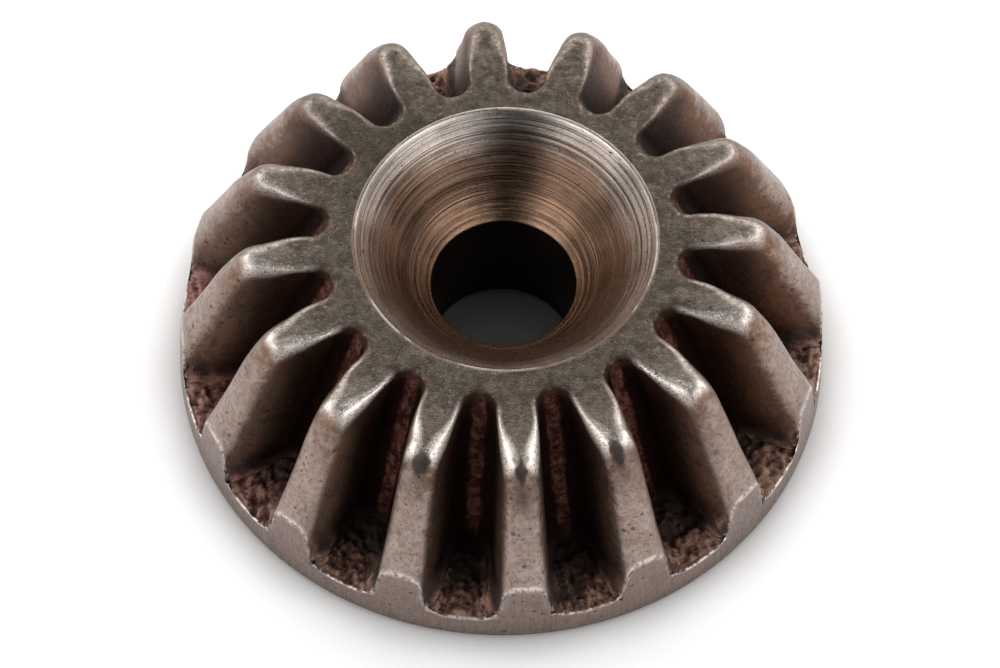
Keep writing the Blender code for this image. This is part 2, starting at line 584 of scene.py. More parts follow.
def slide_on_outer(q, target):
    """Move points along the outer side until `toothed` reads target there."""
    for _ in range(10):
        value = toothed(q) - target
        g = np.empty_like(q)
        for axis in range(3):
            d = np.zeros(3)
            d[axis] = 0.004
            g[:, axis] = (toothed(q + d) - toothed(q - d)) / 0.008
        radial = q.copy()
        radial[:, 2] = 0.0
        radial /= np.linalg.norm(radial, axis=1)[:, None]
        g -= radial * (g * radial).sum(1)[:, None]
        size = np.maximum((g * g).sum(1), 0.05)
        move = -(value / size)[:, None] * g
        length = np.linalg.norm(move, axis=1)
        q = q + move * np.minimum(1.0, 0.08 / np.maximum(length, 1e-9))[:, None]
        want = outer_radius(q[:, 2]) / np.hypot(q[:, 0], q[:, 1])
        q[:, 0] *= want
        q[:, 1] *= want
    return q


P[brink] = slide_on_outer(P[brink], 0.0)
under = touch[:, REGION["outer"]] & ~touch[:, [0, 1, 2, 4, 5, 6]].any(1)
pairs = np.empty(len(mesh.edges) * 2, np.int32)
mesh.edges.foreach_get("vertices", pairs)
pairs = pairs.reshape(-1, 2)
degree = np.bincount(pairs.ravel(), minlength=count).astype(np.float64)
for _ in range(40):
    total = np.zeros_like(P)
    for axis in range(3):
        total[:, axis] = np.bincount(pairs[:, 0], P[pairs[:, 1], axis], count) + np.bincount(pairs[:, 1], P[pairs[:, 0], axis], count)
    P[under] = total[under] / degree[under][:, None]
    ratio = outer_radius(P[under, 2]) / np.hypot(P[under, 0], P[under, 1])
    P[under, 0] *= ratio
    P[under, 1] *= ratio

# round the edges: every toothed vertex slides onto the smooth solid
on_teeth = touch[:, :4].any(1) & ~touch[:, 4:].any(1)
Q = P[on_teeth]
for _ in range(8):
    value = field(Q)
    g = gradient(Q)
    size = np.maximum((g * g).sum(1), 0.05)
    move = -(value / size)[:, None] * g
    length = np.linalg.norm(move, axis=1)
    cap = np.minimum(1.0, 0.06 / np.maximum(length, 1e-9))
    Q = Q + move * cap[:, None]
P[on_teeth] = Q

grad = gradient(P)
N = grad / np.maximum(np.linalg.norm(grad, axis=1), 1e-9)[:, None]
R = np.hypot(P[:, 0], P[:, 1])
A = np.arctan2(P[:, 1], P[:, 0])
Z = P[:, 2]
T = APEX - Z
DEPTH = np.clip((R / T - ROOT) / (crest_slope(Z) - ROOT), -0.5, 1.2)

# how shut in and how exposed each point is
shut = np.zeros(count)
for d, w in ((0.15, 0.25), (0.35, 0.35), (0.8, 0.40)):
    shut += w * np.clip(1.0 - field(P + N * d) / d, 0.0, 1.0)
sharp = np.zeros(count)
for d, w in ((0.05, 0.5), (0.10, 0.5)):
    sharp += w * np.clip(1.0 + field(P - N * d) / d, 0.0, 1.0)

is_flat = touch[:, REGION["flat"]]
is_tooth = touch[:, REGION["tooth"]]
is_web = touch[:, REGION["web"]]
is_outer = touch[:, REGION["outer"]]
is_sink = touch[:, REGION["sink"]]
is_bore = touch[:, REGION["bore"]]
is_back = touch[:, REGION["back"]]

# ---- surface relief ------------------------------------------------------------
PHI = A - np.round(A / SECTOR) * SECTOR
relief = np.zeros(count)
cast = (is_flat | is_tooth) & ~is_sink
relief += np.where(cast, 0.0120 * fbm(P, 0.95, 11) + 0.0060 * fbm(P, 0.30, 23), 0.0)
pits = craters(P, 0.42, 0.12, 0.34, 5)
pits2 = craters(P, 0.24, 0.080, 0.34, 77)
pits3 = craters(P, 0.20, 0.075, 0.75, 177) * np.where(is_tooth, np.exp(-(((DEPTH - 0.84) / 0.10) ** 2)), 0.0)
pits2 = np.maximum(pits2, pits3)
flank_mask = np.where(is_tooth, smooth(1.05 - DEPTH, 0.0, 0.10), 0.0)
worn_smooth = smooth(R, 5.6, 6.2) * smooth(Z, HEIGHT - 0.75, HEIGHT - 0.45)
relief -= np.where(cast, (0.016 * pits + 0.010 * pits2) * (0.45 + 0.55 * flank_mask) * (1.0 - 0.9 * worn_smooth), 0.0)

# the corner where each crest meets the small end is worn smooth, and three of
# them carry a small dent
tooth_no = np.mod(np.round(A / SECTOR).astype(np.int64), TEETH)
knee_r = CREST_R - 0.20
knee_u = (R - knee_r) * 0.62 - (Z - (HEIGHT - 0.15)) * 0.78
knee = np.exp(-((knee_u / 0.42) ** 2)) * np.where(is_tooth | is_flat, 1.0, 0.0) * smooth(R, 6.0, 6.5)
dent = np.zeros(count)
for no, du, dv, su, sv in ((12, 0.13, 0.00, 0.42, 0.165), (11, 0.17, 0.03, 0.42, 0.26), (13, 0.20, -0.13, 0.50, 0.19)):
    u, v = knee_u - du, PHI * R - dv
    v = v + 0.05 * noise3(P, 0.16, 311)
    hit = np.exp(-((u / su) ** 2) - ((v / sv) ** 2))
    dent = np.maximum(dent, np.where((tooth_no == no) & (is_tooth | is_flat), hit, 0.0))
relief -= 0.042 * dent
# painted dark reflection below the dent on the front tooth, fainter on its two neighbours
knee_dark_reflection = np.exp(-(((knee_u - 0.90) / 0.52) ** 2) - ((PHI * R - 0.01) / 0.32) ** 2) * np.where(is_tooth, 1.0, 0.0)
knee_dark_reflection *= np.where(tooth_no == 12, 1.0, np.where((tooth_no == 11) | (tooth_no == 13), 0.55, 0.0))

# residue heaped on the web and in the closed end of each tooth space
over_web = Z - web_height(R)
ragged = 0.16 * fbm(P, 0.5, 71)
climb = 0.55 * smooth(R, 7.5, 8.7)
in_gap = smooth(R + ragged, 6.5, 7.2) * (1.0 - smooth(over_web + ragged - climb, 0.10, 0.42)) * smooth(outer_radius(Z) - R, 0.03, 0.12)
in_gap = np.where((is_web | is_tooth) & (DEPTH < 0.80), in_gap, 0.0)
lumps = fbm(P, 0.30, 41, 4, 0.75)
ridges = 1.0 - np.abs(fbm(P, 0.22, 57, 3, 0.65)) * 3.0
crust = in_gap * (0.045 + 0.230 * lumps + 0.070 * ridges)
relief += crust

# crack between the residue and the rim's edge
edge_gap = outer_radius(Z) - R
crack = np.exp(-(((edge_gap - 0.09) / 0.032) ** 2)) * np.where((is_web | is_tooth) & (over_web < 0.25 + climb) & (DEPTH < 0.8), 1.0, 0.0)
broken = smooth(noise3(P, 0.6, 91), -0.45, 0.25)
relief -= 0.05 * crack * broken

# small nicks along the tooth ends' outline and a faint raised burr
near_outline = np.exp(-((edge_gap / 0.05) ** 2)) * np.where(is_outer & (Z > 0.9), 1.0, 0.0)
relief += np.where(is_outer, 0.016 * smooth(sharp, 0.15, 0.5) * (0.6 + 0.7 * noise3(P, 0.28, 3)), 0.0)
nick = smooth(fbm(P, 0.35, 131, 2), 0.34, 0.62) * smooth(sharp, 0.10, 0.35) * (1.0 - 0.9 * worn_smooth)
relief -= np.where(is_tooth | is_outer, 0.030 * nick, 0.0)
# painted shade on the countersink: its front and side walls are darkened, fading out towards the back wall
from_front = A + math.pi / 2.0 + 0.0857
sink_front_shade = smooth(0.5 + 0.5 * np.cos(from_front), -0.05, 0.62)
# turned rim: shallow axial scratches
relief += np.where(is_outer & ~is_tooth, 0.0012 * noise3(np.stack([A * 60.0, Z * 0.5, R * 0.0], 1), 1.0, 19), 0.0)

# turning lines in the countersink and bore
slant = (SINK - R) / math.sin(math.radians(42.25))
wobble = slant + 0.010 * np.sin(A + 0.7)
rings = noise3(np.stack([wobble, wobble * 0.0, wobble * 0.0], 1), 0.115, 201)
rings += 0.7 * noise3(np.stack([wobble, wobble * 0.0 + 3.0, wobble * 0.0], 1), 0.34, 203)
relief += np.where(is_sink & ~is_flat, 0.0050 * rings, 0.0)
ledge = np.exp(-(((slant - 2.93) / 0.07) ** 2)) * smooth(np.cos(A + 0.6), -0.6, 0.6)
relief -= np.where(is_sink, 0.034 * ledge, 0.0)
rim_line = np.exp(-(((R - SINK - 0.01) / 0.03) ** 2)) * np.where(is_sink | is_flat, 1.0, 0.0)
relief += 0.006 * rim_line

keep_in = np.where(is_back | is_bore, 0.0, 1.0)
P = P + N * (relief * keep_in)[:, None]
# the countersink was cut a little off the axis
TURN = -0.0857  # the view's heading, so that the teeth stand as they should
near_hole = 1.0 - smooth(R, SINK + 0.04, SINK + 0.60)
upper = smooth(Z, 0.0, HEIGHT - (SINK - BORE) / SINK_TAN)
top_part = smooth(Z, HEIGHT - (SINK - BORE) / SINK_TAN, HEIGHT)
shift = np.stack([0.040 + 0.044 * top_part, 0.058 + 0.017 * top_part], 1) * (near_hole * upper * np.where(is_back, 0.0, 1.0))[:, None]
P[:, 0] += shift[:, 0] * math.cos(TURN) - shift[:, 1] * math.sin(TURN)
P[:, 1] += shift[:, 0] * math.sin(TURN) + shift[:, 1] * math.cos(TURN)
# keep every point between the floor and 0.03 mm above the CAD solid's top
P[:, 2] = np.clip(P[:, 2], 0.0, HEIGHT + 0.03)

mesh.vertices.foreach_set("co", (P * MM).astype(np.float32).ravel())


def store(name, values):
    attr = mesh.attributes.new(name, "FLOAT", "POINT")
    attr.data.foreach_set("value", np.asarray(values, np.float32))


store("shut", shut)
store("sharp", np.clip(sharp, 0.0, 1.0))
near_top = 1.0 - (HEIGHT - Z) / 1.1
film_depth = np.where(R > 5.0, np.maximum(DEPTH, near_top - 1.0 + smooth(R, 5.2, 6.3)), DEPTH)
store("depth", np.where((is_flat & ~is_tooth) | is_back, 1.25, film_depth))
# painted highlight strength on each tooth's edges: most on the teeth at the front, least at the back, and only on
# edges that face the front
front = -math.pi / 2.0 - 0.0857
tooth_angle = np.round(A / SECTOR) * SECTOR
front_sheen = 0.08 + 0.92 * smooth(np.cos(tooth_angle - front), -0.75, 0.55)
to_front = N[:, 0] * math.cos(front) + N[:, 1] * math.sin(front)
front_sheen *= 0.04 + 0.96 * smooth(to_front, -0.15, 0.11)
front_tooth = smooth(np.cos(tooth_angle - front), 0.78, 0.92)
front_sheen *= 1.0 - 0.55 * front_tooth * (1.0 - smooth(R, 5.7, 6.7))
store("front_sheen", front_sheen * smooth(R, 4.95, 5.9) * smooth(Z, HEIGHT - 0.75, HEIGHT - 0.35))
# painted shade on the edges near the tooth tips that face away from the front
store("far_edge_shade", smooth(-to_front, 0.07, 0.38) * smooth(R, 5.0, 5.8) * smooth(Z, HEIGHT - 1.2, HEIGHT - 0.6))
# painted shade on the flanks just above the web, near the rim
store("near_web_shade", (1.0 - smooth(over_web + 0.40 * fbm(P, 0.45, 511), 0.15, 1.40)) * smooth(R, 6.8, 7.6) * np.where(is_tooth, 1.0, 0.0))
# painted shade on the flanks of the teeth at the front
store("front_gap_shade", smooth(np.cos(A - front), 0.80, 0.94) * np.where(is_tooth & ~is_outer, 1.0, 0.0) * (1.0 - smooth(N[:, 2], 0.30, 0.55)))
right = front + math.pi / 2.0
store("warm", smooth(np.cos(A - right - 0.25), 0.25, 0.85) * np.where(is_tooth & ~is_outer, 1.0, 0.0))
# painted shade on the flanks towards the small end of the teeth
store("inner_flank_shade", 1.0 - smooth(R + 0.25 * fbm(P, 0.8, 433), 6.2, 7.9))
# painted sheen: the tops lighter towards their tips, on all but the teeth at the back
store("side_tip_sheen", smooth(R, 5.4, 6.7) * smooth(np.cos(tooth_angle - front), -0.85, 0.10) * (1.0 - 0.35 * front_tooth))
store("side_web", smooth(np.abs(np.sin(A - front)), 0.50, 0.90))
store("left_web", smooth(np.cos(A - front + math.pi / 2.0), 0.55, 0.92))
store("dull_patch", smooth(np.cos(A - 2.327 + 0.08 * fbm(P, 0.9, 613)), 0.93, 0.99) * np.where(is_flat, 1.0, 0.0) * (1.0 - smooth(R, 5.6, 6.6)))
store("crust", np.clip(in_gap, 0.0, 1.0))
store("lumps", lumps * 0.5 + 0.5 - 0.26 * smooth(over_web, 0.22, 0.60))
store("flatness", np.where(is_flat, 1.0, 0.0) * smooth(N[:, 2], 0.90, 0.99))
store("outer", np.where(is_outer, 1.0, 0.0))
# the tooth-end outline, which the cast material paints as a pale line: painted highlight
store("outline", np.exp(-((toothed(P) / 0.046) ** 2)) * smooth(R - outer_radius(Z), -0.07, -0.02) * np.where(is_bore | is_back, 0.0, 1.0))
store("radius", R)
off_centre = (np.abs(PHI) - HALF) * R + 0.03 * fbm(P, 0.4, 401) + 0.02
strip_edge = 0.165 + 0.060 * fbm(P, 0.30, 409)
strip = smooth(strip_edge - np.abs(off_centre), -0.035, 0.045) * smooth(0.05 - DEPTH, 0.0, 0.03)
strip *= (1.0 - smooth(R + 0.2 * fbm(P, 0.5, 77), 6.3, 6.8)) * (1.0 - smooth(N[:, 2], 0.45, 0.65)) * np.where(is_flat | is_back | is_bore, 0.0, 1.0)
store("strip", strip)
store("back", np.where(is_back & ~is_outer & ~is_bore, 1.0, 0.0))
store("knee", knee)
store("sink_front_shade", sink_front_shade)
store("tipness", smooth(Z, HEIGHT - 2.4, HEIGHT - 0.5))
# a broken line along the countersink's rim, which the materials paint pale as a highlight
store("sink_edge", np.exp(-(((R - SINK - 0.010) / 0.024) ** 2)) * smooth(noise3(P, 1.1, 421) + 0.6 * noise3(P, 0.2, 422), -0.30, 0.55) * np.where(Z > HEIGHT - 0.12, 1.0, 0.0))
store("gap_end", (1.0 - smooth(R, 5.3, 5.8)) * np.exp(-((space(P) / 0.15) ** 2)) * smooth(Z, HEIGHT - 0.35, HEIGHT - 0.1))
store("dent", np.clip(dent, 0.0, 1.0))
store("knee_dark_reflection", knee_dark_reflection)
facing = np.maximum(smooth(N[:, 2], 0.55, 0.97), smooth(-to_front, 0.02, 0.30) * smooth(N[:, 2], 0.20, 0.50) * smooth(Z, HEIGHT - 1.6, HEIGHT - 0.8))
store("facing", facing * np.where(is_web, 0.0, 1.0))
store("pit", np.clip(np.maximum(pits, pits2 * 0.8) * np.where(cast, 1.0, 0.0) * (1.0 - 0.7 * worn_smooth), 0.0, 1.0))
store("slant", np.where(is_sink | is_bore, slant, 0.0))
store("around", A * 9.0 / 0.055)
store("height", Z * 0.9)
store("crack", np.clip(crack * broken, 0.0, 1.0))

gear = bpy.data.objects.new("bevel_gear_surface", mesh)
bpy.context.scene.collection.objects.link(gear)

# ---- materials -------------------------------------------------------------------


class Nodes:
    """A few short helpers for building node trees."""

    def __init__(self, material):
        self.tree = material.node_tree
        self.shader = self.tree.nodes["Principled BSDF"]

    def new(self, kind, **values):
        node = self.tree.nodes.new(kind)
        for key, value in values.items():
            setattr(node, key, value)
        return node

    def link(self, a, b):
        self.tree.links.new(a, b)

    def put(self, socket, value):
        if hasattr(value, "links"):
            self.link(value, socket)
        elif isinstance(value, (tuple, list)) and len(value) == 3 and socket.type == "RGBA":
            socket.default_value = (*value, 1.0)
        else:
            socket.default_value = value

    def attr(self, name):
        return self.new("ShaderNodeAttribute", attribute_name=name).outputs["Fac"]

    def math(self, op, a, b=0.0, c=None, clamp=False):
        node = self.new("ShaderNodeMath", operation=op, use_clamp=clamp)
        self.put(node.inputs[0], a)
        self.put(node.inputs[1], b)
        if c is not None:
            self.put(node.inputs[2], c)
        return node.outputs[0]

    def ramp(self, value, lo, hi, out_lo=0.0, out_hi=1.0):
        node = self.new("ShaderNodeMapRange", interpolation_type="SMOOTHSTEP")
        self.put(node.inputs["Value"], value)
        node.inputs["From Min"].default_value = lo
        node.inputs["From Max"].default_value = hi
        node.inputs["To Min"].default_value = out_lo
        node.inputs["To Max"].default_value = out_hi
        return node.outputs["Result"]

    def mix(self, factor, a, b, blend="MIX"):
        node = self.new("ShaderNodeMix", data_type="RGBA", blend_type=blend)
        self.put(node.inputs[0], factor)
        self.put(node.inputs[6], a)
        self.put(node.inputs[7], b)
        return node.outputs[2]

    def coords(self, scale=(1000.0, 1000.0, 1000.0)):
        tex = self.new("ShaderNodeTexCoord")
        mapping = self.new("ShaderNodeMapping")
        mapping.inputs["Scale"].default_value = scale
        self.link(tex.outputs["Object"], mapping.inputs["Vector"])
        return mapping.outputs["Vector"]

    def noise(self, vector, scale, detail=2.0, rough=0.5, distortion=0.0):
        node = self.new("ShaderNodeTexNoise")
        self.link(vector, node.inputs["Vector"])
        node.inputs["Scale"].default_value = scale
        node.inputs["Detail"].default_value = detail
        node.inputs["Roughness"].default_value = rough
        node.inputs["Distortion"].default_value = distortion
        return node.outputs["Fac"]

    def bump(self, height, strength, distance, normal=None):
        node = self.new("ShaderNodeBump")
        node.inputs["Strength"].default_value = strength
        node.inputs["Distance"].default_value = distance
        self.link(height, node.inputs["Height"])
        if normal is not None:
            self.link(normal, node.inputs["Normal"])
        return node.outputs["Normal"]


def new_material(name):
    material = bpy.data.materials.new(name)
    material.use_nodes = True
    return material, Nodes(material)


def cast_metal():
    """Matte sintered steel: pale and rubbed where it is exposed, with painted highlights on
    the edges that face the front, brown where it is shut in and darkened there by painted shade, crusty on the web."""
    material, n = new_material("sintered_steel_cast")
    at = n.coords()
    shut_in = n.attr("shut")
    sharp_edge = n.attr("sharp")
    deep = n.attr("depth")
    crusty = n.attr("crust")
    flatness = n.attr("flatness")
    facing = n.attr("facing")
    outer = n.attr("outer")
    outline = n.attr("outline")
    pit = n.attr("pit")
    crack_line = n.attr("crack")
    lump = n.attr("lumps")

    broad = n.noise(at, 1.1, 3.0, 0.55)
    patch = n.noise(at, 3.2, 4.0, 0.65, 0.6)
    mottle = n.noise(at, 7.5, 4.0, 0.65)
    fine = n.noise(at, 19.0, 3.0, 0.6)
    specks = n.ramp(n.noise(at, 14.0, 2.0, 0.5), 0.61, 0.69)

    # exposed steel: greyer and blotchy on the small end, pinker elsewhere
    steel = n.mix(n.ramp(broad, 0.35, 0.68), (0.262, 0.200, 0.172), (0.322, 0.258, 0.225))
    steel = n.mix(n.math("MULTIPLY", n.ramp(mottle, 0.42, 0.62), 0.46), steel, (0.148, 0.104, 0.084))
    flat_steel = n.mix(n.ramp(patch, 0.36, 0.64), (0.160, 0.134, 0.112), (0.078, 0.061, 0.046))
    flat_steel = n.mix(n.math("MULTIPLY", n.ramp(mottle, 0.46, 0.62), 0.58), flat_steel, (0.060, 0.044, 0.034))
    flat_steel = n.mix(n.math("MULTIPLY", n.ramp(mottle, 0.43, 0.34), 0.48), flat_steel, (0.262, 0.224, 0.196))
    flat_steel = n.mix(n.ramp(n.attr("radius"), 4.5, 5.9, 0.30, 0.0), flat_steel, (0.040, 0.034, 0.024))
    flat_steel = n.mix(n.math("MULTIPLY", n.attr("dull_patch"), 0.55), flat_steel, (0.040, 0.034, 0.024))
    # painted sheen: the small end lighter towards the tips, on all but the back teeth
    flat_steel = n.mix(n.math("MULTIPLY", n.attr("side_tip_sheen"), n.ramp(mottle, 0.34, 0.56, 0.62, 0.36)), flat_steel, (0.300, 0.258, 0.228))
    # painted highlight: edges that face the front are painted pale
    front_edge_highlight = n.math("MULTIPLY", n.attr("front_sheen"), n.ramp(sharp_edge, 0.02, 0.20))
    tip_highlight = front_edge_highlight
    flat_steel = n.mix(tip_highlight, flat_steel, (0.560, 0.500, 0.455))
    flat_steel = n.mix(n.math("MULTIPLY", n.ramp(broad, 0.55, 0.68), 0.40), flat_steel, (0.110, 0.066, 0.050))
    steel = n.mix(facing, steel, flat_steel)
    around = n.new("ShaderNodeCombineXYZ")
    polar_at = n.attr("around")
    n.put(around.inputs[0], polar_at)
    n.put(around.inputs[1], n.attr("height"))
    striae = n.noise(around.outputs[0], 1.0, 3.0, 0.7)
    pinkish = n.mix(n.ramp(patch, 0.35, 0.7), (0.256, 0.192, 0.172), (0.208, 0.150, 0.130))
    pinkish = n.mix(n.math("MULTIPLY", n.ramp(striae, 0.46, 0.62), 0.5), pinkish, (0.130, 0.080, 0.066))
    steel = n.mix(n.math("MULTIPLY", outer, 0.85), steel, pinkish)
    # brown film down the flanks; the darkening deeper into the tooth spaces is painted shade
    waver = n.math("MULTIPLY", n.math("SUBTRACT", patch, 0.5), 0.55)
    down = n.math("ADD", deep, waver)
    down = n.math("ADD", down, n.math("MULTIPLY", n.math("SUBTRACT", mottle, 0.5), 0.32))
    down = n.math("SUBTRACT", down, n.math("MULTIPLY", n.attr("tipness"), 0.10))
    film = n.math("MULTIPLY", n.ramp(down, 0.98, 0.75), n.math("SUBTRACT", 1.0, facing, clamp=True))
    film = n.math("MULTIPLY", film, n.math("SUBTRACT", 1.0, outer, clamp=True))
    brown = n.mix(n.ramp(patch, 0.36, 0.64), (0.196, 0.122, 0.092), (0.118, 0.068, 0.049))
    brown = n.mix(n.math("MULTIPLY", n.ramp(broad, 0.42, 0.62), 0.6), brown, (0.205, 0.116, 0.074))
    # painted shade: the brown flanks go near black towards the small end
    brown = n.mix(n.math("MULTIPLY", n.attr("inner_flank_shade"), 0.80), brown, (0.030, 0.015, 0.010))
    brown = n.mix(n.math("MULTIPLY", n.attr("warm"), 0.6), brown, n.mix(1.0, brown, (0.86, 0.66, 0.50), "MULTIPLY"))
    colour = n.mix(film, steel, brown)
    # painted shade: darker deeper down the flanks
    dark = n.math("MULTIPLY", n.ramp(down, 0.70, 0.26), film)
    colour = n.mix(n.math("MULTIPLY", dark, 0.93), colour, (0.040, 0.017, 0.012))
    # painted shade: near black at the fillets in the tooth spaces
    fillet = n.math("MULTIPLY", n.ramp(deep, 0.30, 0.12), film)
    colour = n.mix(n.math("MULTIPLY", fillet, 0.9), colour, (0.010, 0.004, 0.003))
    # painted shade: flanks near black just above the web
    colour = n.mix(n.math("MULTIPLY", n.math("MULTIPLY", n.attr("near_web_shade"), 0.88), film), colour, (0.022, 0.010, 0.007))
    # painted shade: flanks of the front teeth darkened
    colour = n.mix(n.math("MULTIPLY", n.math("MULTIPLY", n.attr("front_gap_shade"), 0.62), n.ramp(down, 0.95, 0.72)), colour, (0.020, 0.010, 0.007))
    strip = n.attr("strip")
    strip_colour = n.mix(n.ramp(patch, 0.38, 0.60), (0.200, 0.082, 0.064), (0.065, 0.022, 0.016))
    strip_colour = n.mix(n.math("MULTIPLY", n.ramp(mottle, 0.50, 0.62), 0.6), strip_colour, (0.020, 0.007, 0.005))
    colour = n.mix(n.math("MULTIPLY", strip, 0.9), colour, strip_colour)
    end_dark = n.math("MULTIPLY", n.attr("gap_end"), n.ramp(mottle, 0.34, 0.50))
    colour = n.mix(n.math("MULTIPLY", end_dark, 0.85), colour, (0.045, 0.024, 0.018))
    # painted dark reflection below the dent on the front tooth
    colour = n.mix(n.math("MULTIPLY", n.math("MULTIPLY", n.attr("knee_dark_reflection"), 1.0), n.ramp(mottle, 0.30, 0.55, 0.62, 1.0)), colour, (0.085, 0.064, 0.052))
    # painted dark reflection in the dents on the three front teeth
    dent_dark_reflection = n.ramp(n.math("ADD", n.attr("dent"), n.math("MULTIPLY", fine, 0.4)), 0.45, 0.85)
    colour = n.mix(n.math("MULTIPLY", dent_dark_reflection, 0.85), colour, (0.030, 0.026, 0.026))
    # the back face is faced flat, with faint rings
    faced = n.new("ShaderNodeTexNoise", noise_dimensions="1D")
    n.put(faced.inputs["W"], n.attr("radius"))
    faced.inputs["Scale"].default_value = 9.0
    faced.inputs["Detail"].default_value = 3.0
    back_steel = n.mix(n.ramp(faced.outputs["Fac"], 0.40, 0.60), (0.270, 0.225, 0.196), (0.190, 0.152, 0.128))
    back_steel = n.mix(n.math("MULTIPLY", n.ramp(patch, 0.40, 0.64), 0.45), back_steel, (0.120, 0.084, 0.066))
    colour = n.mix(n.attr("back"), colour, back_steel)
    # residue, darker towards the root and lighter towards the rim as painted shade and light, a little lighter on the
    # webs at the sides, with pale crumbs only near the rim
    crust_tone_and_shade = n.math("ADD", lump, n.math("MULTIPLY", fine, 0.55))
    # painted shade and light: darker towards the root, lighter towards the rim
    crust_tone_and_shade = n.math("ADD", crust_tone_and_shade, n.ramp(n.attr("radius"), 7.2, 8.7, -0.22, 0.14))
    crust_tone_and_shade = n.math("ADD", crust_tone_and_shade, n.math("MULTIPLY", n.math("SUBTRACT", n.attr("side_web"), 0.35), 0.10))
    crust_colour = n.mix(n.ramp(crust_tone_and_shade, 0.66, 0.96), (0.018, 0.007, 0.005), (0.150, 0.071, 0.048))
    crumb = n.math("MULTIPLY", n.ramp(crust_tone_and_shade, 0.84, 1.06), n.ramp(n.attr("radius"), 7.7, 8.6))
    crust_colour = n.mix(n.math("MULTIPLY", crumb, 0.85), crust_colour, (0.300, 0.185, 0.135))
    crust_colour = n.mix(n.attr("left_web"), crust_colour, n.mix(1.0, crust_colour, (1.12, 0.96, 1.06), "MULTIPLY"))
    colour = n.mix(n.math("MULTIPLY", crusty, 0.95), colour, crust_colour)
    spot = n.new("ShaderNodeTexVoronoi", feature="F1")
    n.link(at, spot.inputs["Vector"])
    spot.inputs["Scale"].default_value = 3.6
    pick_spot = n.new("ShaderNodeSeparateColor")
    n.link(spot.outputs["Color"], pick_spot.inputs[0])
    reach = n.math("MULTIPLY", pick_spot.outputs[0], 0.26)
    reach = n.math("MULTIPLY", reach, n.ramp(pick_spot.outputs[1], 0.50, 0.52))
    wobbly = n.math("ADD", spot.outputs["Distance"], n.math("MULTIPLY", n.math("SUBTRACT", fine, 0.5), 0.22))
    dots = n.ramp(n.math("SUBTRACT", wobbly, reach), 0.02, -0.03)
    specks = n.math("MAXIMUM", specks, dots)
    # pits, specks and the crack are dark
    pitting = n.math("MAXIMUM", n.math("MULTIPLY", pit, 0.80), n.math("MULTIPLY", specks, 0.62))
    pitting = n.math("MAXIMUM", pitting, crack_line, clamp=True)
    colour = n.mix(pitting, colour, (0.035, 0.020, 0.014))
    # rubbed edges, with painted highlight: strongest on edges that face the front, plus pale lines painted along the
    # tooth-end outlines and the countersink's rim
    wear_and_highlight = n.math("MULTIPLY", n.ramp(sharp_edge, 0.06, 0.34), n.ramp(fine, 0.30, 0.52))
    front_sheen = n.attr("front_sheen")
    wear_and_highlight = n.math("MULTIPLY", wear_and_highlight, n.math("ADD", n.math("MULTIPLY", front_sheen, 1.2), 0.06), clamp=True)
    wear_and_highlight = n.math("MAXIMUM", wear_and_highlight, n.math("MULTIPLY", outline, n.ramp(mottle, 0.40, 0.54)))
    wear_and_highlight = n.math("MAXIMUM", wear_and_highlight, n.math("MULTIPLY", n.attr("sink_edge"), 0.7))
    wear_and_highlight = n.math("MULTIPLY", wear_and_highlight, n.ramp(crusty, 0.5, 0.1))
    wear_and_highlight = n.math("MULTIPLY", wear_and_highlight, n.ramp(dent_dark_reflection, 0.5, 0.1))
    colour = n.mix(n.math("MULTIPLY", wear_and_highlight, 0.80), colour, (0.640, 0.580, 0.535))
    # painted shade: edges that face away from the front are darkened
    far_edge_shade = n.math("MULTIPLY", n.attr("far_edge_shade"), n.ramp(sharp_edge, 0.005, 0.10))
    colour = n.mix(n.math("MULTIPLY", far_edge_shade, 0.58), colour, (0.092, 0.072, 0.058))
    n.put(n.shader.inputs["Base Color"], colour)

    metal = n.math("SUBTRACT", 1.0, n.math("MULTIPLY", crusty, 0.85), clamp=True)
    n.put(n.shader.inputs["Metallic"], metal)
    rough = n.math("ADD", n.ramp(mottle, 0.3, 0.7, 0.33, 0.50), n.math("MULTIPLY", film, 0.22))
    rough = n.math("ADD", rough, n.ramp(deep, 0.35, 0.10, 0.0, 0.15))
    rough = n.math("ADD", rough, n.math("MULTIPLY", crusty, 0.30))
    rough = n.math("SUBTRACT", rough, n.math("MULTIPLY", wear_and_highlight, 0.12), clamp=True)
    rough = n.math("ADD", rough, n.math("MULTIPLY", front_edge_highlight, 0.06))
    n.put(n.shader.inputs["Roughness"], rough)

    relief_fine = n.math("ADD", n.math("MULTIPLY", mottle, 0.6), n.math("MULTIPLY", fine, 0.4))
    relief_fine = n.math("MULTIPLY", relief_fine, n.math("SUBTRACT", 1.0, n.math("MULTIPLY", film, 0.55)))
    relief_fine = n.math("MULTIPLY", relief_fine, n.math("ADD", n.ramp(facing, 0.0, 1.0, 0.55, 1.0), n.math("MULTIPLY", crusty, 3.0)))
    relief_fine = n.math("MULTIPLY", relief_fine, n.math("SUBTRACT", 1.0, n.math("MULTIPLY", front_edge_highlight, 0.55)))
    relief_fine = n.math("SUBTRACT", relief_fine, n.math("MULTIPLY", specks, 0.45))
    normal = n.bump(relief_fine, 0.8, 0.000022)
    grain = n.noise(at, 42.0, 2.0, 0.6)
    normal = n.bump(grain, 0.4, 0.000007, normal)
    n.link(normal, n.shader.inputs["Normal"])
    return material


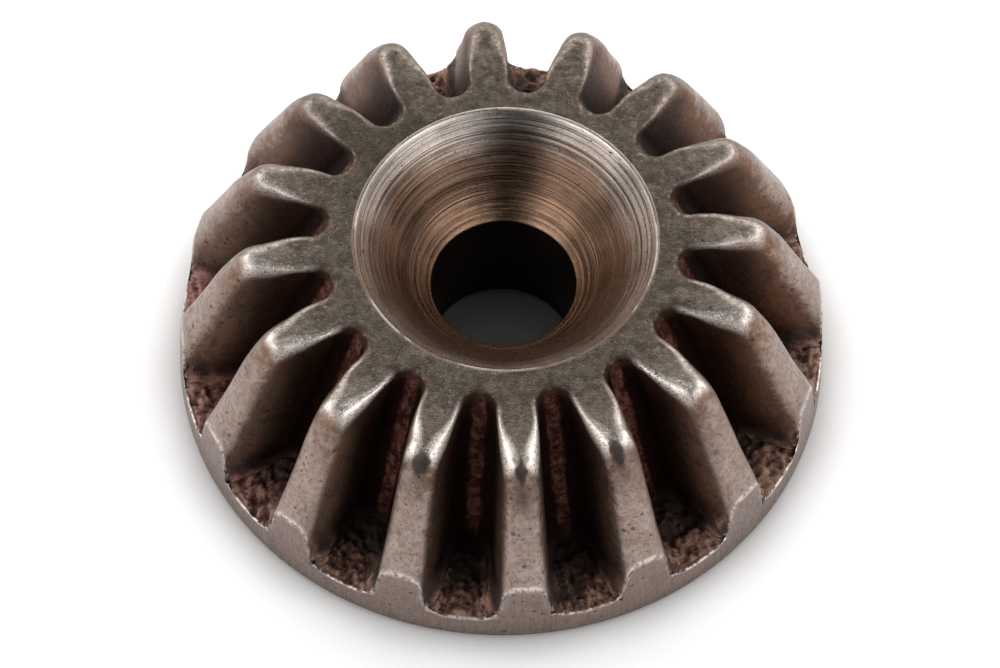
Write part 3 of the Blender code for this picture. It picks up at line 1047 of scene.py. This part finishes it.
def turned_metal():
    """The cut countersink and bore: bright rings with a brown tint below."""
    material, n = new_material("sintered_steel_turned")
    at = n.coords()
    slant_at = n.attr("slant")
    tint = n.noise(at, 0.8, 2.0, 0.5)
    mottle = n.noise(at, 9.0, 3.0, 0.6)
    one = n.new("ShaderNodeTexNoise", noise_dimensions="1D")
    n.put(one.inputs["W"], slant_at)
    one.inputs["Scale"].default_value = 22.0
    one.inputs["Detail"].default_value = 3.0
    one.inputs["Roughness"].default_value = 0.7
    line = one.outputs["Fac"]
    silver = (0.530, 0.475, 0.435)
    brown = (0.185, 0.115, 0.080)
    tan = (0.370, 0.225, 0.150)
    at_slant = n.math("ADD", slant_at, n.math("MULTIPLY", tint, 1.2))
    colour = n.mix(n.ramp(at_slant, 0.6, 2.0), silver, brown)
    colour = n.mix(n.ramp(at_slant, 2.6, 3.5), colour, tan)
    colour = n.mix(n.math("MULTIPLY", n.ramp(line, 0.55, 0.38), 0.80), colour, (0.040, 0.023, 0.016))
    groove = n.new("ShaderNodeTexNoise", noise_dimensions="1D")
    n.put(groove.inputs["W"], n.math("ADD", slant_at, n.math("MULTIPLY", n.noise(at, 0.35, 1.0, 0.5), 0.05)))
    groove.inputs["Scale"].default_value = 4.6
    groove.inputs["Detail"].default_value = 1.5
    grooves = n.ramp(n.math("ABSOLUTE", n.math("SUBTRACT", groove.outputs["Fac"], 0.5)), 0.030, 0.006)
    grooves = n.math("MULTIPLY", grooves, n.ramp(n.noise(at, 0.6, 2.0, 0.5), 0.34, 0.55))
    colour = n.mix(n.math("MULTIPLY", grooves, 0.70), colour, (0.028, 0.014, 0.009))
    colour = n.mix(n.math("MULTIPLY", n.ramp(n.noise(at, 8.0, 2.0, 0.5), 0.67, 0.75), 0.85), colour, (0.03, 0.018, 0.012))
    # painted shade on the countersink's front and side walls
    sink_front_shaded = n.math("MULTIPLY", n.attr("sink_front_shade"), 0.88)
    colour = n.mix(sink_front_shaded, colour, n.mix(1.0, colour, (0.23, 0.165, 0.115), "MULTIPLY"))
    # painted highlight along the countersink's rim
    colour = n.mix(n.math("MULTIPLY", n.attr("sink_edge"), 0.6), colour, (0.560, 0.510, 0.470))
    # painted shade: the bore's walls near black
    bore_shade = n.ramp(slant_at, 3.16, 3.26)
    colour = n.mix(bore_shade, colour, (0.022, 0.014, 0.010))
    n.put(n.shader.inputs["Base Color"], colour)
    n.put(n.shader.inputs["Metallic"], 1.0)
    n.put(n.shader.inputs["Roughness"], n.ramp(mottle, 0.3, 0.7, 0.26, 0.36))
    n.put(n.shader.inputs["Anisotropic"], 0.8)
    tangent = n.new("ShaderNodeTangent", direction_type="RADIAL", axis="Z")
    n.link(tangent.outputs["Tangent"], n.shader.inputs["Tangent"])
    n.shader.inputs["Anisotropic Rotation"].default_value = 0.25
    normal = n.bump(n.math("SUBTRACT", line, n.math("MULTIPLY", grooves, 0.8)), 0.9, 0.000014)
    n.link(normal, n.shader.inputs["Normal"])
    return material


cast = cast_metal()
turned = turned_metal()
mesh.materials.append(cast)
mesh.materials.append(turned)
slots = np.where((region_attr == REGION["sink"]) | (region_attr == REGION["bore"]), 1, 0).astype(np.int32)
mesh.polygons.foreach_set("material_index", slots)
mesh.update()

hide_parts(NODE)
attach(gear, "root")

# ---- floor, light and camera -------------------------------------------------------
scene = bpy.context.scene
scene.view_settings.view_transform = "Standard"
scene.view_settings.look = "None"
scene.view_settings.exposure = 0.0
scene.view_settings.gamma = 1.0

bpy.ops.mesh.primitive_plane_add(size=4.0, location=(0.0, 0.0, -0.00002))
floor = bpy.context.active_object
floor.name = "floor"
floor_material, fn = new_material("pale_floor")
# painted contact shadow: the floor's colour darkens close to the gear
contact_shadow = fn.new("ShaderNodeAmbientOcclusion", samples=8)
contact_shadow.inputs["Distance"].default_value = 0.0015
fn.put(fn.shader.inputs["Base Color"], fn.mix(fn.ramp(contact_shadow.outputs["AO"], 0.40, 0.98), (0.48, 0.48, 0.48), (0.97, 0.97, 0.975)))
fn.shader.inputs["Roughness"].default_value = 0.7
fn.shader.inputs["Specular IOR Level"].default_value = 0.2
floor.data.materials.append(floor_material)


def studio_world():
    """A light tent: bright soft sides, a dim roof, and a dark strip where the
    camera stands."""
    world = bpy.data.worlds.new("studio")
    scene.world = world
    world.use_nodes = True
    tree = world.node_tree
    background = tree.nodes["Background"]
    n = Nodes.__new__(Nodes)
    n.tree = tree
    n.shader = background
    tex = n.new("ShaderNodeTexCoord")
    turn = n.new("ShaderNodeMapping")
    turn.inputs["Rotation"].default_value = (0.0, 0.0, -TURN)
    n.link(tex.outputs["Generated"], turn.inputs["Vector"])
    parts = n.new("ShaderNodeSeparateXYZ")
    n.link(turn.outputs["Vector"], parts.inputs["Vector"])
    x, y, z = parts.outputs
    side = n.math("ABSOLUTE", x)
    azimuth = n.math("MULTIPLY", n.math("ARCTAN2", side, n.math("MULTIPLY", y, -1.0)), 180.0 / math.pi)
    elevation = n.math("MULTIPLY", n.math("ARCSINE", z), 180.0 / math.pi)
    boxes = n.math("MULTIPLY", n.ramp(azimuth, 25.0, 38.0), n.ramp(azimuth, 92.0, 76.0))
    boxes = n.math("MULTIPLY", boxes, n.ramp(elevation, 10.0, 20.0))
    boxes = n.math("MULTIPLY", boxes, n.ramp(elevation, 50.0, 40.0))
    back = n.math("MULTIPLY", n.ramp(azimuth, 84.0, 108.0), n.ramp(elevation, 46.0, 32.0))
    back = n.math("MULTIPLY", back, n.ramp(elevation, 4.0, 16.0))
    strip = n.math("MULTIPLY", n.ramp(azimuth, 25.0, 13.0), n.ramp(elevation, 82.0, 70.0))
    roof = n.ramp(elevation, 46.0, 66.0, 0.42, 0.11)
    total = n.math("ADD", n.math("MULTIPLY", boxes, 3.9), n.math("MULTIPLY", back, 5.0))
    total = n.math("ADD", total, roof)
    total = n.math("MULTIPLY", total, n.math("SUBTRACT", 1.0, n.math("MULTIPLY", strip, 0.86)))
    n.link(total, background.inputs["Strength"])
    background.inputs["Color"].default_value = (1.0, 0.995, 0.985, 1.0)


studio_world()

# camera: 281 mm away, 59.7 degrees above the floor, long lens
tilt, roll, distance = 1.0423, 0.0158, 31.1904 * 9.0 * MM
place = Vector((0.0, -math.cos(tilt), math.sin(tilt)))
forward = -place
right = Vector((1.0, 0.0, 0.0))
up = right.cross(forward)
right2 = right * math.cos(roll) + up * math.sin(roll)
up2 = up * math.cos(roll) - right * math.sin(roll)
axes = Matrix((right2, up2, -forward)).transposed().to_4x4()
view = Matrix.Rotation(TURN, 4, "Z") @ (Matrix.Translation(place * distance) @ axes)
camera_data = bpy.data.cameras.new("camera")
camera_data.sensor_fit = "HORIZONTAL"
camera_data.sensor_width = 36.0
camera_data.lens = 360.0
camera_data.shift_x = -0.0009
camera_data.shift_y = 0.0224
camera_data.clip_start = 0.01
camera_data.clip_end = 20.0
camera = bpy.data.objects.new("camera", camera_data)
camera.matrix_world = view
scene.collection.objects.link(camera)
scene.camera = camera

bpy.context.view_layer.update()
